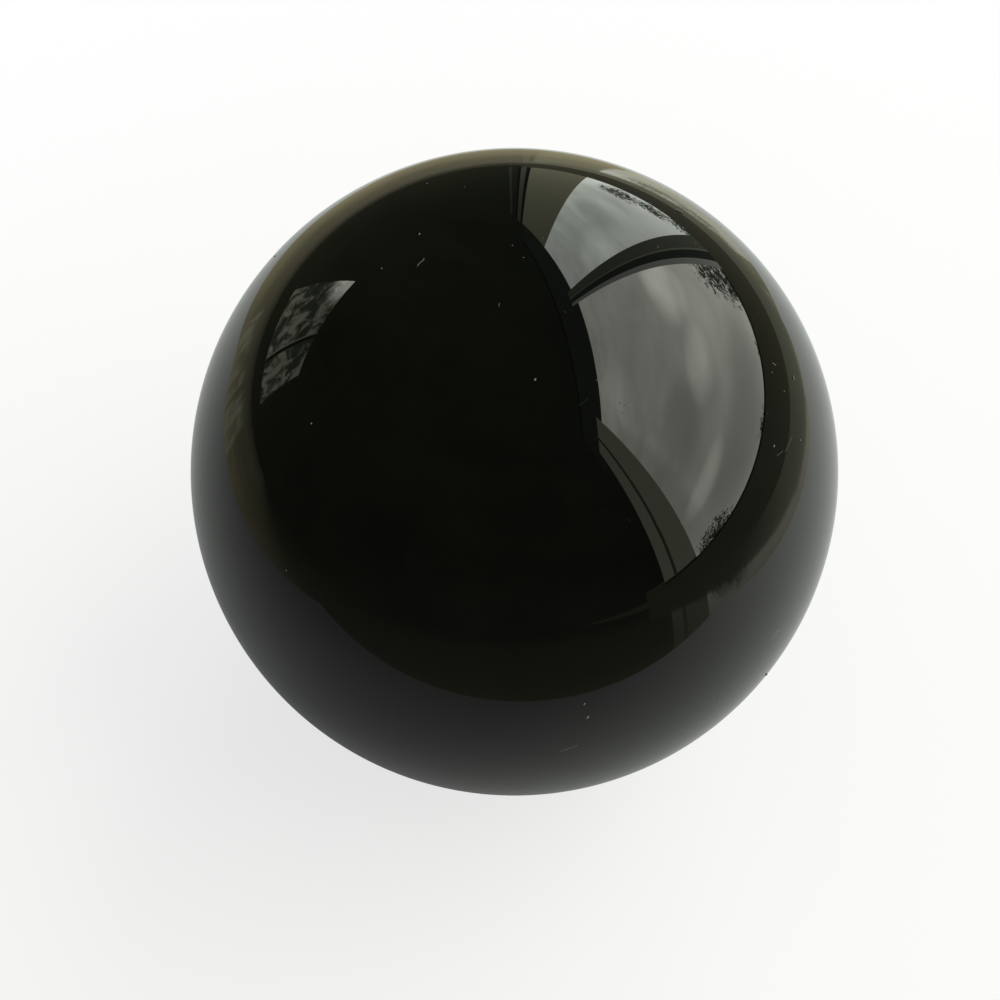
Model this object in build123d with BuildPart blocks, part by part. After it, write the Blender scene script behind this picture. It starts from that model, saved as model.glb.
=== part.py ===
from build123d import *

import os

# A polished obsidian ball, ground from a single block of volcanic glass.
# Millimetres, +Z up. The origin is the centre of the ball.

# ---- driving dimensions ----
ball_diameter = 80.0
ball_radius = ball_diameter / 2

# ---- sphere: half of its upright section, turned once about the upright axis ----
# The section is a semicircle from the lowest point to the highest, closed by the diameter.
with BuildPart() as sphere:
    with BuildSketch(Plane.XZ) as half_section:
        with BuildLine() as outline:
            rim = CenterArc((0, 0), ball_radius, start_angle=-90, arc_size=180)
            Line(rim @ 1, rim @ 0)
        make_face()
    revolve(axis=Axis.Z)
sphere.part.label = "sphere"

# ---- one file for the one piece ----
os.makedirs("parts", exist_ok=True)
export_step(sphere.part, "parts/sphere.step")
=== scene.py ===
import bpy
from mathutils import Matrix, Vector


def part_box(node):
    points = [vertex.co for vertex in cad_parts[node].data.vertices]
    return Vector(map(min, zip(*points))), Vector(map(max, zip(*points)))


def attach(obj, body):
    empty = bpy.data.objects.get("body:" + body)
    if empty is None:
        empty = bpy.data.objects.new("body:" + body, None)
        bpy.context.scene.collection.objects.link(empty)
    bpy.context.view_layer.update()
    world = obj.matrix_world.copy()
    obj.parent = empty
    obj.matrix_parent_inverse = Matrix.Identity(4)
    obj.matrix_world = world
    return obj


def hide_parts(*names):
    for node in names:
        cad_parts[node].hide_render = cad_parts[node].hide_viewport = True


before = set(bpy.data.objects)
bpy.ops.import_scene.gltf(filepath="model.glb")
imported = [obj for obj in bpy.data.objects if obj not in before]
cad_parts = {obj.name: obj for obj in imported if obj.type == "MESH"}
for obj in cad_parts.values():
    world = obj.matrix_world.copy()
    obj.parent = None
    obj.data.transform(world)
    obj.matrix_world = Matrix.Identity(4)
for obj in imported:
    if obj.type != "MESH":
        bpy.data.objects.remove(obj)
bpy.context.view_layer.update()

"""A polished obsidian ball on a pale studio floor.

Metres, +Z up, origin at the centre of the ball. Azimuths are counted from +Y towards +X.
Every length near the ball is given in ball radii and scaled by the radius of the frame's own ball.
"""

import logging
from dataclasses import dataclass, field
from enum import Enum
from typing import Any, Optional, Sequence, Union

import bpy
import numpy as np
from mathutils import Matrix

log = logging.getLogger("obsidian")

Colour = tuple[float, float, float]
Number = Union[int, float]


# ---------------------------------------------------------------------------
# Shader maths
# ---------------------------------------------------------------------------

class Signal:
    """One output socket of a node, with Python's operators adding Math nodes."""

    def __init__(self, bench: "NodeBench", socket: bpy.types.NodeSocket) -> None:
        """Keep the node tree and the socket that carries the value."""
        self.bench = bench
        self.socket = socket

    def _math(self, operation: str, *terms: Any, clamp: bool = False) -> "Signal":
        """Add one Math node.

        Args:
            operation: Name of the Math node's operation.
            terms: Values or signals for its inputs, in order.
            clamp: Whether the result is held between 0 and 1.

        Returns:
            The signal of the result.
        """
        settings = {"operation": operation, "use_clamp": clamp}
        return self.bench.node("ShaderNodeMath", settings, dict(enumerate(terms)))

    def __add__(self, other: Any) -> "Signal":
        """Sum of two values."""
        return self._math("ADD", self, other)

    def __radd__(self, other: Any) -> "Signal":
        """Sum, with the number first."""
        return self._math("ADD", other, self)

    def __sub__(self, other: Any) -> "Signal":
        """Difference of two values."""
        return self._math("SUBTRACT", self, other)

    def __rsub__(self, other: Any) -> "Signal":
        """Difference, with the number first."""
        return self._math("SUBTRACT", other, self)

    def __mul__(self, other: Any) -> "Signal":
        """Product of two values."""
        return self._math("MULTIPLY", self, other)

    def __rmul__(self, other: Any) -> "Signal":
        """Product, with the number first."""
        return self._math("MULTIPLY", other, self)

    def __truediv__(self, other: Any) -> "Signal":
        """Quotient of two values."""
        return self._math("DIVIDE", self, other)

    def __rtruediv__(self, other: Any) -> "Signal":
        """Quotient, with the number first."""
        return self._math("DIVIDE", other, self)

    def larger(self, other: Any) -> "Signal":
        """The larger of two values."""
        return self._math("MAXIMUM", self, other)

    def held(self) -> "Signal":
        """The value held between 0 and 1."""
        return self._math("ADD", self, 0.0, clamp=True)

    def step(self, start: Number, end: Number) -> "Signal":
        """Smooth step from 0 at start to 1 at end.

        Args:
            start: Value at which the step leaves 0.
            end: Value at which it reaches 1; it may lie below start.

        Returns:
            The signal of the step.
        """
        settings = {"interpolation_type": "SMOOTHSTEP"}
        if end > start:
            values = {"Value": self, "From Min": start, "From Max": end, "To Min": 0.0, "To Max": 1.0}
        else:
            values = {"Value": self, "From Min": end, "From Max": start, "To Min": 1.0, "To Max": 0.0}
        return self.bench.node("ShaderNodeMapRange", settings, values, output="Result")


class NodeBench:
    """A node tree that is built with plain calls."""

    def __init__(self, tree: bpy.types.NodeTree) -> None:
        """Empty the tree and keep it."""
        self.tree = tree
        tree.nodes.clear()

    @classmethod
    def material(cls, name: str) -> tuple["NodeBench", bpy.types.Material]:
        """Start a new material.

        Args:
            name: The material's name.

        Returns:
            The bench for its nodes, and the material.
        """
        made = bpy.data.materials.new(name)
        made.use_nodes = True
        return cls(made.node_tree), made

    def node(self, kind: str, settings: Optional[dict[str, Any]] = None,
             values: Optional[dict[Any, Any]] = None, output: Any = 0) -> Signal:
        """Add any node: its settings first, then what its sockets hold.

        Args:
            kind: The node's type name.
            settings: Attributes to set, by name.
            values: Socket name or number to a value or a signal.
            output: Name or number of the output that is handed back.

        Returns:
            The signal of that output.
        """
        made = self.tree.nodes.new(kind)
        for name, value in (settings or {}).items():
            setattr(made, name, value)
        for name, value in (values or {}).items():
            socket = made.inputs[name]
            if isinstance(value, Signal):
                self.tree.links.new(value.socket, socket)
            elif isinstance(value, tuple) and len(value) == 3 and socket.type == "RGBA":
                socket.default_value = (*value, 1.0)
            else:
                socket.default_value = value
        return Signal(self, made.outputs[output])

    def place(self) -> Signal:
        """Object coordinates of the shaded point, in metres."""
        return self.node("ShaderNodeTexCoord", output="Object")

    def noise(self, vector: Signal, scale: float, detail: float = 2.0, rough: float = 0.5,
              twist: float = 0.0) -> Signal:
        """Cloudy noise between about 0.2 and 0.8.

        Args:
            vector: Where the noise is read.
            scale: Blobs per metre.
            detail: Number of finer layers.
            rough: Weight of the finer layers.
            twist: How much the noise is bent by itself.

        Returns:
            The signal of its value.
        """
        return self.node("ShaderNodeTexNoise", {"noise_dimensions": "3D"},
                         {"Vector": vector, "Scale": scale, "Detail": detail, "Roughness": rough,
                          "Distortion": twist})

    def blend(self, share: Any, first: Any, second: Any) -> Signal:
        """Colour between two colours.

        Args:
            share: 0 for the first, 1 for the second.
            first: Colour or signal.
            second: Colour or signal.

        Returns:
            The signal of the colour.
        """
        return self.node("ShaderNodeMix", {"data_type": "RGBA", "blend_type": "MIX", "clamp_factor": True},
                         {0: share, 6: first, 7: second}, output=2)

    def vector(self, operation: str, *terms: Any, output: Any = 0) -> Signal:
        """Add one Vector Math node.

        Args:
            operation: Name of the operation.
            terms: Vectors or signals for its inputs, in order.
            output: Output to hand back, 1 for a plain number.

        Returns:
            The signal of the result.
        """
        settings = {"operation": operation}
        return self.node("ShaderNodeVectorMath", settings, dict(enumerate(terms)), output=output)

    def scaled(self, vector: Any, factor: Any) -> Signal:
        """A vector times a number."""
        return self.node("ShaderNodeVectorMath", {"operation": "SCALE"}, {0: vector, "Scale": factor})

    def part(self, vector: Signal, axis: int) -> Signal:
        """One part of a vector: 0 for x, 1 for y, 2 for z."""
        return self.node("ShaderNodeSeparateXYZ", {}, {0: vector}, output=axis)

    def looked_at(self) -> Signal:
        """Tell what is looked at from what only carries light.

        Returns:
            1 for rays from the camera, a polish or glass, and 0 for all others.
        """
        camera = self.node("ShaderNodeLightPath", output="Is Camera Ray")
        outputs = camera.socket.node.outputs
        return camera.larger(Signal(self, outputs["Is Glossy Ray"])).larger(
            Signal(self, outputs["Is Transmission Ray"]))

    def finish(self, shader: Signal, kind: str = "ShaderNodeOutputMaterial") -> None:
        """Join the shader to the tree's output, which is of the given kind."""
        made = self.tree.nodes.new(kind)
        self.tree.links.new(shader.socket, made.inputs["Surface"])


# ---------------------------------------------------------------------------
# Meshes
# ---------------------------------------------------------------------------

def put_mesh(name: str, points: np.ndarray, faces: np.ndarray, smooth: bool = True) -> bpy.types.Object:
    """Make an object at the origin from points and faces.

    Args:
        name: The object's name.
        points: Rows of x, y, z in metres.
        faces: Rows of point numbers, all with the same number of corners, seen anticlockwise from outside.
        smooth: Whether the faces are shaded smooth.

    Returns:
        The new object.
    """
    mesh = bpy.data.meshes.new(name)
    count, corners = faces.shape
    mesh.vertices.add(len(points))
    mesh.vertices.foreach_set("co", points.astype(np.float32).ravel())
    mesh.loops.add(faces.size)
    mesh.loops.foreach_set("vertex_index", faces.astype(np.int32).ravel())
    mesh.polygons.add(count)
    mesh.polygons.foreach_set("loop_start", np.arange(0, faces.size, corners, dtype=np.int32))
    mesh.update(calc_edges=True)
    mesh.validate()
    mesh.polygons.foreach_set("use_smooth", np.full(count, smooth))
    made = bpy.data.objects.new(name, mesh)
    bpy.context.collection.objects.link(made)
    return made


def unit(vectors: np.ndarray) -> np.ndarray:
    """Bring vectors to length 1 along the last axis."""
    return vectors / np.linalg.norm(vectors, axis=-1, keepdims=True)


def bearing(azimuth: float, elevation: float = 0.0) -> np.ndarray:
    """Unit vector at an azimuth from +Y towards +X and an elevation, both in degrees."""
    a, e = np.radians(azimuth), np.radians(elevation)
    return np.array([np.sin(a) * np.cos(e), np.cos(a) * np.cos(e), np.sin(e)])


def on_ball(latitude: np.ndarray, longitude: np.ndarray) -> np.ndarray:
    """Unit vectors at latitudes and longitudes in degrees, longitude counted from +X towards +Y."""
    la, lo = np.radians(latitude), np.radians(longitude)
    return np.stack([np.cos(la) * np.cos(lo), np.cos(la) * np.sin(lo), np.sin(la)], axis=-1)


# ---------------------------------------------------------------------------
# Finishes
# ---------------------------------------------------------------------------

@dataclass(frozen=True)
class Scratch:
    """A hairline scratch between two places on the ball, each latitude and longitude in degrees."""

    start: tuple[float, float]
    end: tuple[float, float]
    half_width: float = 0.0012
    strength: float = 1.0


@dataclass(frozen=True)
class ObsidianPolish:
    """Mirror-polished black volcanic glass with a faint olive cast, flow bands, smudges and hairlines."""

    name: str = "obsidian_polish"
    deep: Colour = (0.0007, 0.0008, 0.0006)
    band: Colour = (0.0016, 0.0018, 0.0012)
    scar: Colour = (0.17, 0.175, 0.16)
    index: float = 1.5
    mirror: float = 0.012
    smudge: float = 0.035
    pit_rough: float = 0.10
    scratch_rough: float = 0.33
    pits_per_radius: float = 26.0
    relief: float = 0.00003
    scratches: tuple[Scratch, ...] = (
        Scratch((37.0, -25.5), (37.0, -29.5), 0.0013, 0.35),
        Scratch((38.0, -32.0), (37.5, -30.0), 0.0011, 0.3),
        Scratch((9.5, -45.0), (9.5, -42.5), 0.0014),
        Scratch((10.5, -44.5), (10.0, -43.0), 0.0012, 0.8),
        Scratch((5.5, -83.0), (6.5, -80.5), 0.0013, 0.8),
        Scratch((60.5, -72.0), (61.0, -69.0), 0.0010, 0.10),
        Scratch((63.0, -64.5), (63.5, -62.0), 0.0010, 0.08),
        Scratch((24.0, 96.0), (22.0, 99.5), 0.0012, 0.35),
        Scratch((48.0, 62.0), (45.5, 64.5), 0.0011, 0.25),
        Scratch((15.0, 171.0), (12.0, 172.5), 0.0012, 0.35),
        Scratch((-14.0, 20.0), (-15.5, 24.0), 0.0012, 0.4),
    )

    def hairlines(self, bench: NodeBench, place: Signal) -> Signal:
        """Mask of the scratches.

        The distance from the point p to a scratch from a to b is the length of
        p - a - t (b - a), where t is (p - a).(b - a) over |b - a| squared, held between 0 and 1.

        Args:
            bench: The node bench.
            place: The point on the ball, in ball radii.

        Returns:
            1 on a scratch and 0 off it.
        """
        total: Optional[Signal] = None
        for scratch in self.scratches:
            a = on_ball(np.array(scratch.start[0]), np.array(scratch.start[1]))
            along = on_ball(np.array(scratch.end[0]), np.array(scratch.end[1])) - a
            offset = bench.vector("SUBTRACT", place, tuple(a))
            t = bench.vector("DOT_PRODUCT", offset, tuple(along / np.dot(along, along)), output=1).held()
            nearest = bench.scaled(tuple(along), t)
            gap = bench.vector("LENGTH", bench.vector("SUBTRACT", offset, nearest), output=1)
            mask = gap.step(scratch.half_width, scratch.half_width * 0.35) * scratch.strength
            total = mask if total is None else total.larger(mask)
        return total

    def make(self, radius: float) -> bpy.types.Material:
        """Build the material.

        Args:
            radius: The ball's radius in metres.

        Returns:
            The material.
        """
        bench, made = NodeBench.material(self.name)
        place = bench.scaled(bench.place(), 1.0 / radius)
        # flow bands: noise read on a tilted lattice, squeezed five times across the bands
        tilted = bench.node("ShaderNodeMapping", {},
                            {"Vector": place, "Rotation": (0.5, 0.3, 0.2), "Scale": (1.0, 1.0, 5.0)})
        bands = bench.noise(tilted, 1.3, 4.0, 0.55, 0.6).step(0.38, 0.66)
        smear = bench.noise(place, 2.1, 5.0, 0.62, 0.8).step(0.52, 0.78)
        # wiping marks: the same, in long streaks another way
        wipe = bench.node("ShaderNodeMapping", {},
                          {"Vector": place, "Rotation": (0.9, -0.4, 0.7), "Scale": (9.0, 1.2, 1.2)})
        wiped = bench.noise(wipe, 2.2, 3.0, 0.5).step(0.56, 0.74)
        pits = bench.node("ShaderNodeTexVoronoi", {"feature": "F1"},
                          {"Vector": place, "Scale": self.pits_per_radius, "Randomness": 1.0})
        pit = pits.step(0.050, 0.026)
        lines = self.hairlines(bench, place)
        colour = bench.blend(lines, bench.blend(bands, self.deep, self.band), self.scar)
        rough = (self.mirror + self.smudge * (smear * 0.45 + wiped * 0.2)
                 + self.pit_rough * pit + self.scratch_rough * lines).held()
        height = 0.0 - (pit * 0.5 + lines)
        normal = bench.node("ShaderNodeBump", {},
                            {"Strength": 0.35, "Distance": self.relief, "Height": height})
        shader = bench.node("ShaderNodeBsdfPrincipled", {},
                            {"Base Color": colour, "Roughness": rough, "IOR": self.index, "Normal": normal})
        bench.finish(shader)
        return made


class MarkKind(Enum):
    """What a loose mark on the polish is made of."""

    SPECK = "speck"
    LINT = "lint"


@dataclass(frozen=True)
class DustFinish:
    """Pale grey house dust and lint, dull, with a little variation from grain to grain."""

    name: str = "dust_and_lint"
    pale: Colour = (0.22, 0.225, 0.21)
    dull: Colour = (0.09, 0.09, 0.082)

    def make(self) -> bpy.types.Material:
        """Build the material.

        Returns:
            The material.
        """
        bench, made = NodeBench.material(self.name)
        place = bench.place()
        tone = bench.noise(place, 900.0, 2.0, 0.5).step(0.35, 0.65)
        fuzz = bench.noise(place, 9000.0, 2.0, 0.6)
        normal = bench.node("ShaderNodeBump", {}, {"Strength": 0.5, "Distance": 0.00002, "Height": fuzz})
        shader = bench.node("ShaderNodeBsdfPrincipled", {},
                            {"Base Color": bench.blend(tone, self.dull, self.pale), "Roughness": 0.9,
                             "Specular IOR Level": 0.2, "Normal": normal})
        bench.finish(shader)
        return made


@dataclass(frozen=True)
class FloorFinish:
    """White paper that renders as a plain white background and keeps the ball's soft shadow."""

    name: str = "white_floor"
    paper: Colour = (0.8, 0.8, 0.8)
    shaded_share: float = 0.30
    near: float = 1.2
    far: float = 6.0

    def make(self, radius: float) -> bpy.types.Material:
        """Build the material.

        Args:
            radius: The ball's radius in metres.

        Returns:
            The material.
        """
        bench, made = NodeBench.material(self.name)
        reach = bench.vector("LENGTH", bench.place(), output=1) / radius
        share = reach.step(self.far, self.near) * self.shaded_share
        black, pure = (0.0, 0.0, 0.0), (1.0, 1.0, 1.0)
        shaded = bench.node("ShaderNodeBsdfDiffuse", {}, {"Color": bench.blend(share, black, pure)})
        rest = bench.blend(share, pure, black)
        lit = bench.node("ShaderNodeEmission", {}, {"Color": rest, "Strength": 1.0})
        white = bench.node("ShaderNodeAddShader", {}, {0: shaded, 1: lit})
        plain = bench.node("ShaderNodeBsdfDiffuse", {}, {"Color": self.paper})
        mixed = {0: bench.looked_at(), 1: plain, 2: white}
        bench.finish(bench.node("ShaderNodeMixShader", {}, mixed))
        return made


def glowing(bench: NodeBench, made: bpy.types.Material, colour: Any,
            is_lamp: bool = False) -> bpy.types.Material:
    """Finish a material as one that gives off light.

    Args:
        bench: The material's node bench.
        made: The material.
        colour: Colour or signal of the light.
        is_lamp: Whether it lights other things, or is only seen.

    Returns:
        The material.
    """
    bench.finish(bench.node("ShaderNodeEmission", {}, {"Color": colour, "Strength": 1.0}))
    made.cycles.emission_sampling = "FRONT_BACK" if is_lamp else "NONE"
    return made


@dataclass(frozen=True)
class GlowFinish:
    """A plain card that gives off an even, weak light of its own colour."""

    name: str
    colour: Colour

    def make(self) -> bpy.types.Material:
        """Build the material."""
        bench, made = NodeBench.material(self.name)
        return glowing(bench, made, self.colour)


# ---------------------------------------------------------------------------
# The object
# ---------------------------------------------------------------------------

@dataclass
class PolishedBall:
    """The ball: one closed skin on six equal-angle grids."""

    radius: float
    cells: int = 116
    finish: ObsidianPolish = field(default_factory=ObsidianPolish)

    def surface(self) -> tuple[np.ndarray, np.ndarray, np.ndarray]:
        """Work out the skin.

        Each of six square grids runs over two angles a and b from -45 to 45 degrees. The point is the
        direction w + tan(a) u + tan(b) v brought to unit length and multiplied by the radius, where
        u, v and w are a right-handed set of axes with w through the middle of the grid. Edges that two
        grids share are merged.

        Returns:
            Points, faces of four corners, and a place on a flat sheet for each corner.
        """
        n = self.cells
        angle = np.linspace(-np.pi / 4, np.pi / 4, n + 1)
        a, b = np.meshgrid(angle, angle, indexing="ij")
        cell = np.arange(n * (n + 1)).reshape(n, n + 1)[:, :n]
        quad = np.stack([cell, cell + n + 1, cell + n + 2, cell + 1], axis=-1).reshape(-1, 4)
        flat = np.stack([(a / (np.pi / 2) + 0.5), (b / (np.pi / 2) + 0.5)], axis=-1).reshape(-1, 2)
        points, faces, charts = [], [], []
        for side in range(6):
            w = np.roll(np.array([1.0, 0.0, 0.0]), side % 3) * (1 if side < 3 else -1)
            u = np.roll(np.array([0.0, 1.0, 0.0]), side % 3)
            v = np.cross(w, u)
            grid = unit(w + np.tan(a)[..., None] * u + np.tan(b)[..., None] * v)
            faces.append(quad + len(points) * (n + 1) ** 2)
            points.append(grid.reshape(-1, 3))
            charts.append((flat[quad].reshape(-1, 2) * 0.97 + 0.015 + [side % 3, side // 3]) / [3.0, 2.0])
        every = np.concatenate(points)
        _, first, same = np.unique(np.round(every, 7), axis=0, return_index=True, return_inverse=True)
        return every[first] * self.radius, same.reshape(-1)[np.concatenate(faces)], np.concatenate(charts)

    def build(self) -> bpy.types.Object:
        """Make the ball and put it in the place of the frame's plain one.

        Returns:
            The ball.
        """
        points, faces, charts = self.surface()
        ball = put_mesh("polished_ball", points, faces)
        layer = ball.data.uv_layers.new(name="OFBake")
        layer.data.foreach_set("uv", charts.astype(np.float32).ravel())
        ball.data.materials.append(self.finish.make(self.radius))
        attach(ball, "root")
        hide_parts("sphere")
        return ball


@dataclass(frozen=True)
class Mark:
    """A speck of dust or a fibre of lint on the ball.

    Latitude, longitude and heading are in degrees, heading counted from east towards north;
    length and width are in thousandths of the ball's radius.
    """

    kind: MarkKind
    latitude: float
    longitude: float
    length: float
    width: float
    heading: float = 0.0


@dataclass
class LooseDust:
    """Specks and lint that lie on the polish, some where they are plain to see and the rest scattered."""

    radius: float
    seed: int = 7
    scattered: int = 36
    finish: DustFinish = field(default_factory=DustFinish)
    placed: tuple[Mark, ...] = (
        Mark(MarkKind.SPECK, 70.0, 131.5, 7, 4, 48),
        Mark(MarkKind.SPECK, 76.5, 122.0, 3, 3),
        Mark(MarkKind.SPECK, 76.5, 176.5, 9, 4, 0),
        Mark(MarkKind.LINT, 76.0, -158.5, 30, 3, 123),
        Mark(MarkKind.SPECK, 70.5, -166.5, 4, 3),
        Mark(MarkKind.LINT, 76.0, -97.5, 12, 1.5, 85),
        Mark(MarkKind.SPECK, 86.5, -90.0, 3, 3),
        Mark(MarkKind.SPECK, 84.0, -75.0, 3, 3),
        Mark(MarkKind.SPECK, 65.0, -83.0, 8, 5, 58),
        Mark(MarkKind.SPECK, 59.0, -61.0, 4, 3),
        Mark(MarkKind.SPECK, 58.5, -60.0, 4, 3),
        Mark(MarkKind.LINT, 45.5, -16.0, 16, 2, 116),
        Mark(MarkKind.SPECK, 45.5, -18.5, 4, 3),
        Mark(MarkKind.SPECK, 42.0, -19.5, 4, 3),
        Mark(MarkKind.LINT, 40.5, -14.0, 14, 3, 43),
        Mark(MarkKind.SPECK, 39.5, -31.5, 7, 5, 40),
        Mark(MarkKind.SPECK, 35.0, -24.0, 4, 3),
        Mark(MarkKind.SPECK, 16.5, -79.5, 8, 6, 68),
        Mark(MarkKind.SPECK, 13.5, -79.0, 11, 6, 77),
        Mark(MarkKind.SPECK, 6.5, -58.0, 6, 5),
        Mark(MarkKind.SPECK, 5.0, -56.5, 6, 5),
        Mark(MarkKind.SPECK, -5.0, -42.5, 9, 8),
        Mark(MarkKind.SPECK, 28.5, -130.5, 5, 4),
        Mark(MarkKind.SPECK, 49.5, -139.0, 5, 4),
    )

    def marks(self) -> list[Mark]:
        """The placed marks and the scattered ones.

        The scattered ones are spread evenly over the half turn that faces away from the placed ones,
        with lengths that mostly stay small.

        Returns:
            All marks.
        """
        rng = np.random.default_rng(self.seed)
        latitude = np.degrees(np.arcsin(rng.uniform(-0.7, 0.88, self.scattered)))
        longitude = rng.uniform(0, 180, self.scattered)
        length = 3.0 + 4.0 * rng.random(self.scattered) ** 3
        heading = rng.uniform(0, 180, self.scattered)
        fibre = rng.random(self.scattered) < 0.12
        found = [Mark(MarkKind.LINT, la, lo, 3.0 * le + 8.0, 2.5, he) if fi
                 else Mark(MarkKind.SPECK, la, lo, le, 0.8 * le, he)
                 for la, lo, le, he, fi in zip(latitude, longitude, length, heading, fibre)]
        return list(self.placed) + found

    @staticmethod
    def axes(mark: Mark) -> tuple[np.ndarray, np.ndarray, np.ndarray]:
        """Work out the directions at a mark.

        Args:
            mark: The mark.

        Returns:
            The directions along it, across it and outwards.
        """
        out = on_ball(np.array(mark.latitude), np.array(mark.longitude))
        east = unit(np.cross([0.0, 0.0, 1.0], out))
        north = np.cross(out, east)
        turn = np.radians(mark.heading)
        along = np.cos(turn) * east + np.sin(turn) * north
        return along, np.cross(out, along), out

    def speck(self, mark: Mark, rng: np.random.Generator) -> tuple[np.ndarray, np.ndarray]:
        """A grain: a lumpy flattened ball sunk a third of its height into the surface.

        The point at polar angle p and turn q is (cos q sin p, sin q sin p, cos p) times the half sizes,
        each ring pushed in or out by a seeded tenth or two.

        Args:
            mark: The speck.
            rng: Source of the lumps.

        Returns:
            Points and triangles.
        """
        rings, turns = 5, 8
        p, q = np.meshgrid(np.linspace(0, np.pi, rings + 1)[1:-1], np.arange(turns) * 2 * np.pi / turns,
                           indexing="ij")
        lump = 1 + rng.uniform(-0.22, 0.22, p.shape)
        body = np.stack([np.cos(q) * np.sin(p), np.sin(q) * np.sin(p), np.cos(p)], -1) * lump[..., None]
        local = np.concatenate([[[0, 0, 1.0]], body.reshape(-1, 3), [[0, 0, -1.0]]])
        half = np.array([mark.length, mark.width, 0.6 * mark.width]) / 2000.0 * self.radius
        along, across, out = self.axes(mark)
        points = (local * half) @ np.stack([along, across, out]) + out * (self.radius + 0.35 * half[2])
        count = 1 + (rings - 1) * turns
        ring = 1 + np.arange((rings - 2) * turns).reshape(rings - 2, turns)
        right = np.roll(ring, -1, axis=1)
        lower, lower_right = ring + turns, right + turns
        walls = np.concatenate([np.stack([ring, lower, lower_right], -1).reshape(-1, 3),
                                np.stack([ring, lower_right, right], -1).reshape(-1, 3)])
        top = 1 + np.arange(turns)
        low = count - turns + np.arange(turns)
        caps = np.concatenate([np.stack([np.zeros(turns, int), top, np.roll(top, -1)], -1),
                               np.stack([np.full(turns, count), np.roll(low, -1), low], -1)])
        return points, np.concatenate([walls, caps])

    def fibre(self, mark: Mark, rng: np.random.Generator) -> tuple[np.ndarray, np.ndarray]:
        """A fibre: a thin tube along a gentle bend that lies on the ball.

        The middle line at u from 0 to 1 lies (u - 1/2) of the length along the heading and swings
        sideways by a seeded share of sin(pi u) plus sin(2 pi u). The tube's half width fades to a
        third at both ends, and its closing points lie on the middle line.

        Args:
            mark: The fibre.
            rng: Source of the bend.

        Returns:
            Points and triangles.
        """
        stations, turns = 9, 6
        u = np.linspace(0, 1, stations)
        bend = rng.uniform(-0.16, 0.16, 2)
        long = mark.length / 1000.0 * self.radius
        thick = mark.width / 2000.0 * self.radius
        along, across, out = self.axes(mark)
        side = long * (bend[0] * np.sin(np.pi * u) + bend[1] * np.sin(2 * np.pi * u))
        line = unit(out * self.radius + np.outer((u - 0.5) * long, along) + np.outer(side, across))
        line = line * (self.radius + 0.5 * thick + thick * np.sin(np.pi * u)[:, None] * rng.uniform(0.0, 1.0))
        ahead = unit(np.gradient(line, axis=0))
        up = unit(line)
        left = np.cross(up, ahead)
        q = np.arange(turns) * 2 * np.pi / turns
        half = thick * (1 / 3 + 2 / 3 * np.sin(np.pi * u) ** 0.5)
        ring = (line[:, None] + half[:, None, None]
                * (np.cos(q)[None, :, None] * left[:, None] + np.sin(q)[None, :, None] * up[:, None]))
        points = np.concatenate([line[:1] - ahead[:1] * half[0], ring.reshape(-1, 3),
                                 line[-1:] + ahead[-1:] * half[-1]])
        cell = 1 + np.arange((stations - 1) * turns).reshape(stations - 1, turns)
        beside = np.roll(cell, -1, axis=1)
        walls = np.concatenate([np.stack([cell, beside, beside + turns], -1).reshape(-1, 3),
                                np.stack([cell, beside + turns, cell + turns], -1).reshape(-1, 3)])
        last = 1 + stations * turns
        start, stop = 1 + np.arange(turns), last - turns + np.arange(turns)
        caps = np.concatenate([np.stack([np.zeros(turns, int), np.roll(start, -1), start], -1),
                               np.stack([np.full(turns, last), stop, np.roll(stop, -1)], -1)])
        return points, np.concatenate([walls, caps])

    def build(self) -> bpy.types.Object:
        """Make all marks as one piece.

        Returns:
            The piece.
        """
        rng = np.random.default_rng(self.seed + 1)
        points, faces, count = [], [], 0
        for mark in self.marks():
            shape = self.fibre if mark.kind is MarkKind.LINT else self.speck
            some, corners = shape(mark, rng)
            points.append(some)
            faces.append(corners + count)
            count += len(some)
        dust = put_mesh("dust_and_lint", np.concatenate(points), np.concatenate(faces))
        dust.data.materials.append(self.finish.make())
        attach(dust, "root")
        return dust


# ---------------------------------------------------------------------------
# The studio
# ---------------------------------------------------------------------------

class SeenBy(Enum):
    """Which rays meet a studio piece."""

    EVERYTHING = "everything"
    LIGHT = "light"
    POLISH = "polish"


def set_seen(piece: bpy.types.Object, seen: SeenBy) -> bpy.types.Object:
    """Set which rays meet a studio piece.

    Args:
        piece: The piece.
        seen: EVERYTHING for the floor, LIGHT for a soft box that lights and shows in the polish but
            not to the camera, POLISH for a card that only the polish mirrors.

    Returns:
        The piece.
    """
    piece.visible_camera = seen is SeenBy.EVERYTHING
    piece.visible_diffuse = seen is not SeenBy.POLISH
    piece.visible_shadow = seen is SeenBy.EVERYTHING
    piece.visible_volume_scatter = seen is not SeenBy.POLISH
    return piece


def flat_quad(name: str, corners: Sequence[Sequence[float]], paint: bpy.types.Material,
              seen: SeenBy) -> bpy.types.Object:
    """A flat four-cornered studio piece.

    Args:
        name: Its name.
        corners: Four points in metres, in order round the edge.
        paint: Its material.
        seen: Which rays meet it.

    Returns:
        The piece.
    """
    piece = put_mesh(name, np.array(corners, float), np.array([[0, 1, 2, 3]]), smooth=False)
    piece.data.materials.append(paint)
    return set_seen(piece, seen)


@dataclass(frozen=True)
class Patch:
    """A soft patch on a soft box: its middle, half width and half height as shares of the wall's
    distance, and how much light it adds or, below zero, takes."""

    across: float
    up: float
    wide: float
    tall: float
    gain: float


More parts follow.
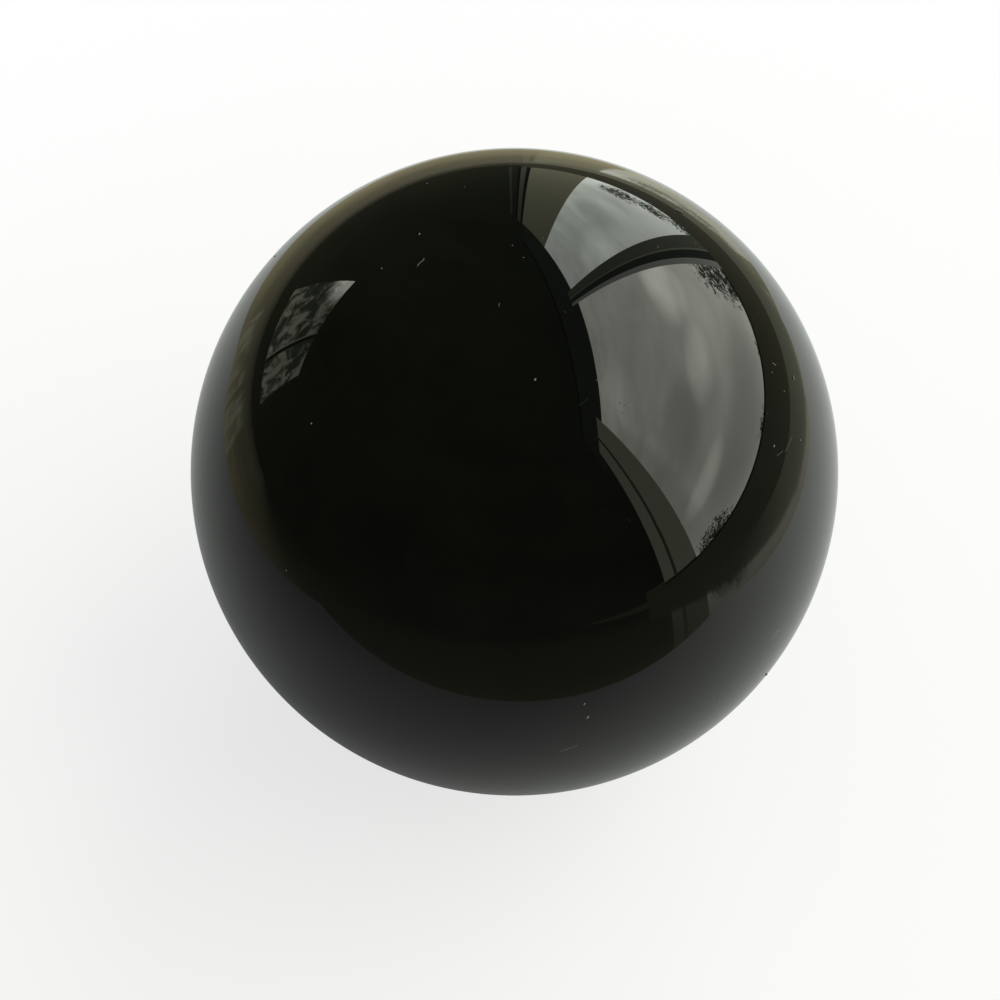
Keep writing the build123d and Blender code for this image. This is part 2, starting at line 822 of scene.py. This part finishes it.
@dataclass(frozen=True)
class CloudFinish:
    """The face of a soft box: diffused light with a slow cloudy change and a leafy fringe at its foot."""

    name: str
    tint: Colour
    level: float
    patches: tuple[Patch, ...] = ()
    leaves: tuple[Patch, ...] = ()
    leaf: Colour = (0.16, 0.17, 0.14)
    full: float = 6.0

    @staticmethod
    def cover(across: Signal, up: Signal, patch: Patch) -> Signal:
        """Measure how far a point lies from a patch's middle.

        Args:
            across: The point's place along the wall.
            up: Its height.
            patch: The patch.

        Returns:
            The squared distance in half sizes: 0 in the middle, 1 at the rim.
        """
        x = (across - patch.across) / patch.wide
        y = (up - patch.up) / patch.tall
        return x * x + y * y

    def make(self, wall: "Wall", radius: float) -> bpy.types.Material:
        """Build the material.

        Args:
            wall: The wall that the soft box stands in.
            radius: The ball's radius in metres.

        Returns:
            The material.
        """
        bench, made = NodeBench.material(self.name)
        span = wall.distance * radius
        place = bench.place()
        across = bench.vector("DOT_PRODUCT", place, tuple(bearing(wall.azimuth + 90.0) / span), output=1)
        up = bench.vector("DOT_PRODUCT", place, (0.0, 0.0, 1.0 / span), output=1)
        flat = bench.node("ShaderNodeCombineXYZ", {}, {0: across, 1: up * 1.9, 2: self.level})
        cloud = bench.noise(flat, 2.0, 3.0, 0.42, 0.4)
        light = self.level * (0.70 + 0.60 * cloud)
        for patch in self.patches:
            light = light + patch.gain * self.cover(across, up, patch).step(1.0, 0.0) * (0.4 + 1.2 * cloud)
        colour = bench.blend(light.larger(0.0) / self.full, (0.0, 0.0, 0.0),
                             tuple(self.full * c for c in self.tint))
        twigs = bench.noise(flat, 30.0, 6.0, 0.78, 0.4)
        for patch in self.leaves:
            inside = 1.0 - self.cover(across, up, patch)
            ragged = (inside * 0.55 + (twigs - 0.5) * 2.6).step(0.30, 0.42)
            colour = bench.blend(ragged * inside.step(-0.4, 0.0), colour, self.leaf)
        return glowing(bench, made, colour, is_lamp=True)


@dataclass(frozen=True)
class Wall:
    """An upright plane that faces the ball: its facing azimuth and its distance in ball radii."""

    azimuth: float
    distance: float

    def at(self, across: float, up: float, radius: float, back: float = 0.0) -> np.ndarray:
        """A point of the plane.

        Args:
            across: Place along the plane as a multiple of its distance, clockwise seen from above.
            up: Height above the ball's centre as a multiple of the distance.
            radius: The ball's radius in metres.
            back: How far behind the plane, as a share of the distance.

        Returns:
            The point in metres.
        """
        out = bearing(self.azimuth)
        side = bearing(self.azimuth + 90.0)
        span = self.distance * radius
        return span * (out * (1.0 + back) + side * across + np.array([0.0, 0.0, up]))

    def pane(self, name: str, span: tuple[float, float], heights: Sequence[float], radius: float,
             paint: bpy.types.Material, seen: SeenBy, back: float = 0.0) -> bpy.types.Object:
        """A panel between two places along the wall.

        Args:
            name: Its name.
            span: The two places along the wall.
            heights: Foot at the first and second place, then top at the second and first.
            radius: The ball's radius in metres.
            paint: Its material.
            seen: Which rays meet it.
            back: How far behind the plane, as a share of the distance.

        Returns:
            The panel.
        """
        a, b = span
        corners = [self.at(x, h, radius, back) for x, h in zip((a, b, b, a), heights)]
        return flat_quad(name, corners, paint, seen)


BOX_WALL = Wall(75.1, 15.6)
SIDE_WALL = Wall(-20.3, 85.0)


@dataclass
class SoftBoxes:
    """Two large upright soft boxes side by side, which light the ball and show in its polish."""

    radius: float
    wall: Wall = BOX_WALL
    first: tuple[float, float] = (-1.99, -0.905)
    second: tuple[float, float] = (-0.65, 1.10)
    foot: float = 0.14
    clouds_first: CloudFinish = CloudFinish(
        "soft_box_cloud_a", (0.93, 1.0, 0.90), 2.95,
        patches=(Patch(-1.55, 0.42, 0.60, 0.16, -0.4), Patch(-1.05, 1.25, 0.40, 0.55, 0.9),
                 Patch(-1.50, 0.85, 0.50, 0.25, -0.6)),
        leaves=(Patch(-1.52, 0.24, 0.32, 0.13, 1.0), Patch(-1.20, 0.20, 0.22, 0.09, 1.0),
                Patch(-0.98, 0.13, 0.16, 0.10, 1.0)))
    clouds_second: CloudFinish = CloudFinish(
        "soft_box_cloud_b", (0.98, 1.0, 0.87), 2.65,
        patches=(Patch(-0.50, 0.78, 0.36, 0.22, 1.9), Patch(0.02, 0.64, 0.30, 0.14, 1.3),
                 Patch(-0.22, 0.56, 0.40, 0.16, 0.7), Patch(0.72, 0.42, 0.42, 0.09, 1.2),
                 Patch(0.60, 1.80, 0.60, 0.45, 0.5), Patch(0.50, 0.78, 0.50, 0.26, -0.7),
                 Patch(0.25, 0.26, 0.80, 0.18, -0.8), Patch(1.05, 0.90, 0.28, 1.20, -0.6)),
        leaves=(Patch(-0.58, 0.20, 0.20, 0.26, 1.0), Patch(0.84, 0.13, 0.28, 0.11, 1.0),
                Patch(0.10, 0.10, 0.16, 0.065, 1.0), Patch(-0.28, 0.10, 0.16, 0.065, 1.0)))

    def build(self) -> list[bpy.types.Object]:
        """Make both soft boxes.

        Returns:
            The two panels.
        """
        r, wall, foot = self.radius, self.wall, self.foot
        return [
            wall.pane("soft_box_a", self.first, (foot - 0.025, foot - 0.02, 2.335, 2.46), r,
                      self.clouds_first.make(wall, r), SeenBy.LIGHT),
            wall.pane("soft_box_b", self.second, (foot, foot - 0.03, 2.24, 2.27), r,
                      self.clouds_second.make(wall, r), SeenBy.LIGHT),
        ]


@dataclass(frozen=True)
class RoomFinish:
    """Dark olive card all round that glows with painted light of a dim room: darker walls, a slightly lighter
    ceiling, painted shade towards the soft boxes, faint mottling.
    """

    name: str = "dim_room_glow"
    wall: Colour = (0.070, 0.076, 0.047)
    ceiling: Colour = (0.090, 0.097, 0.056)
    deep: Colour = (0.036, 0.042, 0.031)
    front: Colour = (0.085, 0.085, 0.066)
    shade: Colour = (0.042, 0.052, 0.044)

    def make(self) -> bpy.types.Material:
        """Build the material.

        Returns:
            The material.
        """
        bench, made = NodeBench.material(self.name)
        way = bench.vector("NORMALIZE", bench.place())
        height, toward = bench.part(way, 2), bench.part(way, 1)
        rise = height.step(0.25, 0.85)
        mottle = bench.noise(way, 2.4, 4.0, 0.6, 0.4).step(0.30, 0.72)
        # painted light: the whole colour is glow, lighter on the ceiling than on the walls
        colour = bench.blend(rise, self.wall, self.ceiling)
        colour = bench.blend(toward.step(-0.45, -0.9) * height.step(0.5, 0.0), colour, self.front)
        side = bench.vector("DOT_PRODUCT", way, tuple(bearing(75.0, 20.0)), output=1)
        # painted shade: the glow turns darker towards the soft boxes
        colour = bench.blend(side.step(0.05, 0.75) * 0.8, colour, self.shade)
        colour = bench.blend(mottle * 0.5, colour, self.deep)
        return glowing(bench, made, colour)


@dataclass(frozen=True)
class TableFinish:
    """A lacquered tan board that mirrors the soft boxes at a flat angle, with a painted glare on its far part
    and painted shade towards its front.
    """

    name: str = "lacquered_tan_card"
    tan: Colour = (0.60, 0.53, 0.35)
    side: Colour = (0.40, 0.41, 0.33)
    # dark tone for the grain, and the colour of the painted shade towards the front
    dim: Colour = (0.16, 0.16, 0.125)
    # colour of the painted glare: a highlight laid into the far board's colour
    painted_glare: Colour = (0.96, 0.87, 0.63)
    roughness: float = 0.10

    def make(self, radius: float) -> bpy.types.Material:
        """Build the material.

        Args:
            radius: The ball's radius in metres.

        Returns:
            The material.
        """
        bench, made = NodeBench.material(self.name)
        place = bench.place()
        forward = bench.part(place, 1) / radius
        grain = bench.noise(place, 16.0, 3.0, 0.5).step(0.3, 0.7)
        tone = bench.blend(grain * 0.25, self.tan, self.dim)
        reach = bench.vector("LENGTH", place, output=1) / radius
        tone = bench.blend((bench.part(place, 0) / radius).step(2.0, 7.0), tone, self.side)
        # painted glare: far from the ball the board's colour turns bright, standing in for the soft boxes'
        # glint
        tone = bench.blend(reach.step(8.0, 28.0), tone, self.painted_glare)
        # painted shade: the board's colour turns dim towards the front, standing in for a shadow cast from
        # the camera's side
        tone = bench.blend(forward.step(1.0, -4.5), tone, self.dim)
        bench.finish(bench.node("ShaderNodeBsdfPrincipled", {},
                                {"Base Color": tone, "Roughness": self.roughness, "IOR": 1.5}))
        return made


@dataclass(frozen=True)
class SheetFinish:
    """Matt white sheet under the ball, lit by the lamps, with its colour painted lighter on the side of the
    soft boxes and darker away from them: painted light and shade.
    """

    name: str = "matt_sheet_card"
    # painted lit colour and painted shaded colour of the sheet, towards the soft boxes and away from them
    painted_lit: Colour = (0.785, 0.805, 0.83)
    dim: Colour = (0.262, 0.27, 0.278)

    def make(self, radius: float) -> bpy.types.Material:
        """Build the material.

        Args:
            radius: The ball's radius in metres.

        Returns:
            The material.
        """
        bench, made = NodeBench.material(self.name)
        place = bench.place()
        x, y = bench.part(place, 0) / radius, bench.part(place, 1) / radius
        # painted light and shade: the colour runs from dim at the left and front to bright towards the soft
        # boxes, on top of the lamps' real light and the ball's real shadow
        right = x.step(-1.5, 1.0)
        along = right * (0.6 * x + 0.8 * y) + (1.0 - right) * (0.25 * x + 0.55 * y - 0.35)
        tone = bench.blend(along.step(-3.6, 2.6), self.dim, self.painted_lit)
        bench.finish(bench.node("ShaderNodeBsdfDiffuse", {}, {"Color": tone}))
        return made


@dataclass(frozen=True)
class Strip:
    """A plain upright card on a wall that glows with painted light, standing in for a band, sill, trim, post
    or edge of a window as the polish mirrors it: its places along the wall, its heights in the order that
    Wall.pane takes them, and how far behind the wall it stands."""

    name: str
    colour: Colour
    span: tuple[float, float]
    heights: tuple[float, float, float, float]
    back: float = 0.0

    def build(self, wall: Wall, radius: float) -> bpy.types.Object:
        """Make the card, which only the polish mirrors.

        Args:
            wall: The wall that it stands on.
            radius: The ball's radius in metres.

        Returns:
            The card.
        """
        paint = GlowFinish(self.name + "_paint", self.colour).make()
        return wall.pane(self.name + "_card", self.span, self.heights, radius, paint,
                         SeenBy.POLISH, self.back)


def upright(foot: float, top: float) -> tuple[float, float, float, float]:
    """Heights of a strip with a level foot and a level top."""
    return (foot, foot, top, top)


@dataclass
class ReflectionCards:
    """Cards that only the polish mirrors: they give the ball dark surroundings to show against. Most of them
    glow with painted light of a dim room and its windows; the board and the sheet are lit by the lamps but
    carry painted light and shade in their colours.
    """

    radius: float
    shell_reach: float = 160.0
    ground_reach: float = 170.0
    board_edge: float = 12.5
    # each strip glows with painted light: the bands, sill, trims, post and edge of a window
    strips: tuple[Strip, ...] = (
        Strip("band_above", (0.073, 0.085, 0.071), (-3.05, 1.95), upright(2.1, 3.3), 0.03),
        Strip("band_line", (0.025, 0.030, 0.025), (-3.05, 1.95), upright(3.3, 3.42), 0.03),
        Strip("sill_below", (0.150, 0.148, 0.104), (-3.4, 2.2), upright(-0.8, 0.14), 0.004),
        Strip("trim_left", (0.50, 0.51, 0.34), (-3.12, -1.99), (0.12, 0.12, 2.46, 2.56), 0.002),
        Strip("trim_right", (0.62, 0.62, 0.47), (1.10, 1.68), (0.12, 0.12, 2.35, 2.45), 0.002),
        Strip("trim_line", (0.14, 0.15, 0.12), (1.42, 1.47), upright(0.12, 2.5), 0.001),
        Strip("foot_line", (0.035, 0.040, 0.030), (-0.65, 1.68), (0.128, 0.088, 0.102, 0.142), -0.002),
        # painted light: these strips glow side by side in the pale and dark tones of a window post
        Strip("post_side", (0.22, 0.245, 0.175), (-0.905, -0.785), upright(0.12, 2.5)),
        Strip("post_line", (0.42, 0.44, 0.34), (-0.785, -0.77), upright(0.12, 2.5)),
        Strip("post_dark", (0.075, 0.09, 0.075), (-0.77, -0.70), upright(0.12, 2.5)),
        Strip("post_pale", (0.70, 0.73, 0.63), (-0.70, -0.65), upright(0.12, 2.5)),
        Strip("edge_dark", (0.03, 0.035, 0.025), (-3.24, -3.12), upright(0.12, 2.6), 0.001),
        Strip("edge_pale", (0.22, 0.225, 0.17), (-3.42, -3.24), upright(0.12, 2.6), 0.001),
        Strip("edge_line", (0.03, 0.032, 0.024), (-3.52, -3.42), upright(0.12, 2.6), 0.001),
        Strip("edge_far", (0.13, 0.135, 0.105), (-3.90, -3.76), upright(0.12, 2.6), 0.001),
    )
    side_strips: tuple[Strip, ...] = (
        Strip("side_bar", (0.05, 0.05, 0.036), (-0.94, -0.905), upright(0.115, 0.609), -0.004),
        Strip("side_edge", (0.55, 0.55, 0.42), (-0.905, -0.89), upright(0.115, 0.609), -0.004),
    )

    def shell(self) -> bpy.types.Object:
        """Make the great dark shell all round.

        It is a ball of the shell's reach, with its points at polar angle p and turn q.

        Returns:
            The shell.
        """
        rings, turns = 24, 48
        p, q = np.meshgrid(np.linspace(0, np.pi, rings + 1), np.arange(turns + 1) * 2 * np.pi / turns,
                           indexing="ij")
        body = np.stack([np.cos(q) * np.sin(p), np.sin(q) * np.sin(p), np.cos(p)], -1)
        cell = np.arange(rings * (turns + 1)).reshape(rings, turns + 1)[:, :turns]
        quad = np.stack([cell, cell + 1, cell + turns + 2, cell + turns + 1], -1).reshape(-1, 4)
        made = put_mesh("dark_shell_card", body.reshape(-1, 3) * self.shell_reach * self.radius, quad)
        made.data.materials.append(RoomFinish().make())
        return set_seen(made, SeenBy.POLISH)

    def side_window(self) -> bpy.types.Object:
        """Make the small far box on the other side: a card that glows with painted light, seen only in
        reflections, leafy, and brightest at its upper near corner.

        Returns:
            The box's face.
        """
        bench, paint = NodeBench.material("side_box_paint")
        span = SIDE_WALL.distance * self.radius
        place = bench.scaled(bench.place(), 1.0 / span)
        leaf = bench.noise(place, 9.0, 5.0, 0.66, 0.5).step(0.43, 0.60)
        corner = tuple(SIDE_WALL.at(-0.49, 0.60, self.radius) / span)
        near = bench.vector("LENGTH", bench.vector("SUBTRACT", place, corner), output=1)
        colour = bench.blend(leaf, (0.12, 0.14, 0.10), (0.70, 0.72, 0.54))
        # painted light: a bright glow near the upper near corner, with the leaves over it
        colour = bench.blend(near.step(0.20, 0.03) * (0.55 + 0.45 * leaf), colour, (5.4, 5.5, 4.8))
        glowing(bench, paint, colour)
        return SIDE_WALL.pane("side_box_card", (-1.337, -0.481), (0.115, 0.11, 0.609, 0.609), self.radius,
                              paint, SeenBy.POLISH)

    def lay(self, name: str, lift: float, corners: Sequence[Sequence[float]],
            paint: bpy.types.Material) -> bpy.types.Object:
        """Lay a flat card just above the floor.

        Args:
            name: The card's name.
            lift: Its height above the floor in metres.
            corners: Its corners' x and y in ball radii, anticlockwise seen from above.
            paint: Its material.

        Returns:
            The card.
        """
        points = [(c[0] * self.radius, c[1] * self.radius, lift - self.radius) for c in corners]
        return flat_quad(name, points, paint, SeenBy.POLISH)

    def table(self) -> list[bpy.types.Object]:
        """Make the flat cards round the ball's foot: dark ground that glows with painted light, tan board
        with painted glare and shade, white sheet with painted light and shade.

        Returns:
            The three cards.
        """
        out, side = bearing(BOX_WALL.azimuth), bearing(BOX_WALL.azimuth + 90.0)
        far = self.ground_reach
        edge, back = self.board_edge * out, far * 1.6 * out
        ground = [(-far, -far), (far, -far), (far, far), (-far, far)]
        board = [edge - side * far, edge - side * far - back, edge + side * far - back, edge + side * far]
        sheet = [(-5.6, -3.95), (4.5, -3.0), (4.95, 4.35), (-5.95, 4.0)]
        # painted light: the ground card glows an even dim tan, seen only in reflections
        ground_paint = GlowFinish("ground_paint", (0.15, 0.148, 0.104)).make()
        return [
            self.lay("ground_card", 0.00008, ground, ground_paint),
            self.lay("board_card", 0.00014, board, TableFinish().make(self.radius)),
            self.lay("sheet_card", 0.00020, sheet, SheetFinish().make(self.radius)),
        ]

    def build(self) -> list[bpy.types.Object]:
        """Make every card.

        Returns:
            The cards.
        """
        uprights = [strip.build(BOX_WALL, self.radius) for strip in self.strips]
        side_bars = [strip.build(SIDE_WALL, self.radius) for strip in self.side_strips]
        return [self.shell(), *uprights, self.side_window(), *side_bars, *self.table()]


@dataclass
class PaleFloor:
    """A plain white floor that touches the foot of the ball and runs to the horizon."""

    radius: float
    reach: float = 220.0

    def build(self) -> bpy.types.Object:
        """Make the floor.

        Returns:
            The floor.
        """
        r, far = self.radius, self.reach * self.radius
        corners = [(-far, -far, -r), (far, -far, -r), (far, far, -r), (-far, far, -r)]
        return flat_quad("floor", corners, FloorFinish().make(r), SeenBy.EVERYTHING)


@dataclass
class StudioAir:
    """The world: white where the camera, glass or a polish looks past the floor, soft grey as light."""

    ambient: float = 0.38

    def build(self) -> bpy.types.World:
        """Make the world.

        Returns:
            The world.
        """
        world = bpy.data.worlds.new("studio")
        world.use_nodes = True
        bench = NodeBench(world.node_tree)
        strength = self.ambient + (1.0 - self.ambient) * bench.looked_at()
        bench.finish(bench.node("ShaderNodeBackground", {}, {"Color": (1.0, 1.0, 1.0), "Strength": strength}),
                     "ShaderNodeOutputWorld")
        bpy.context.scene.world = world
        return world


@dataclass
class ViewCamera:
    """The camera: looks down on the ball from close by, with the ball a little off the middle.

    The nearness is the ball's radius over the camera's distance from the ball's centre. The lens and
    the sensor are in millimetres, and the two shifts of the aim are shares of the frame's width.
    """

    radius: float
    elevation: float = 52.5
    roll: float = -0.25
    nearness: float = 0.285
    sensor: float = 36.0
    lens: float = 39.1932
    across: float = 0.0133
    up: float = 0.026

    def build(self) -> bpy.types.Object:
        """Make the camera and set it.

        It stands at the radius over the nearness from the centre. Its own axes are right, up and back;
        roll turns right and up about back, and the aim is then turned so that the centre of the ball
        lies off the middle by the two shifts.

        Returns:
            The camera.
        """
        back = -bearing(0.0) * np.cos(np.radians(self.elevation)) + [0, 0, np.sin(np.radians(self.elevation))]
        right = np.array([1.0, 0.0, 0.0])
        rise = np.cross(back, right)
        c, s = np.cos(np.radians(self.roll)), np.sin(np.radians(self.roll))
        right, rise = c * right + s * rise, -s * right + c * rise
        spot = back * self.radius / self.nearness
        ahead = unit(-back * self.lens / self.sensor - self.across * right - self.up * rise)
        right = unit(np.cross(ahead, rise))
        rise = np.cross(right, ahead)
        data = bpy.data.cameras.new("camera")
        data.sensor_width = self.sensor
        data.lens = self.lens
        data.clip_start = 0.005
        data.clip_end = 50.0
        camera = bpy.data.objects.new("camera", data)
        pose = np.eye(4)
        pose[:3, 0], pose[:3, 1], pose[:3, 2], pose[:3, 3] = right, rise, -ahead, spot
        camera.matrix_world = Matrix(pose.tolist())
        bpy.context.collection.objects.link(camera)
        bpy.context.scene.camera = camera
        return camera


def main() -> None:
    """Build the ball, the studio and the camera, and report each piece."""
    logging.basicConfig(level=logging.INFO, format="%(message)s")
    bpy.context.scene.view_settings.view_transform = "Standard"
    low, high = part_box("sphere")
    radius = 0.5 * float(high[2] - low[2])
    ViewCamera(radius).build()
    StudioAir().build()
    PaleFloor(radius).build()
    for piece in SoftBoxes(radius).build() + ReflectionCards(radius).build():
        log.info("studio piece %s", piece.name)
    for piece in (PolishedBall(radius).build(), LooseDust(radius).build()):
        piece.data.calc_loop_triangles()
        log.info("piece %s: %d triangles", piece.name, len(piece.data.loop_triangles))


if __name__ == "__main__":
    main()
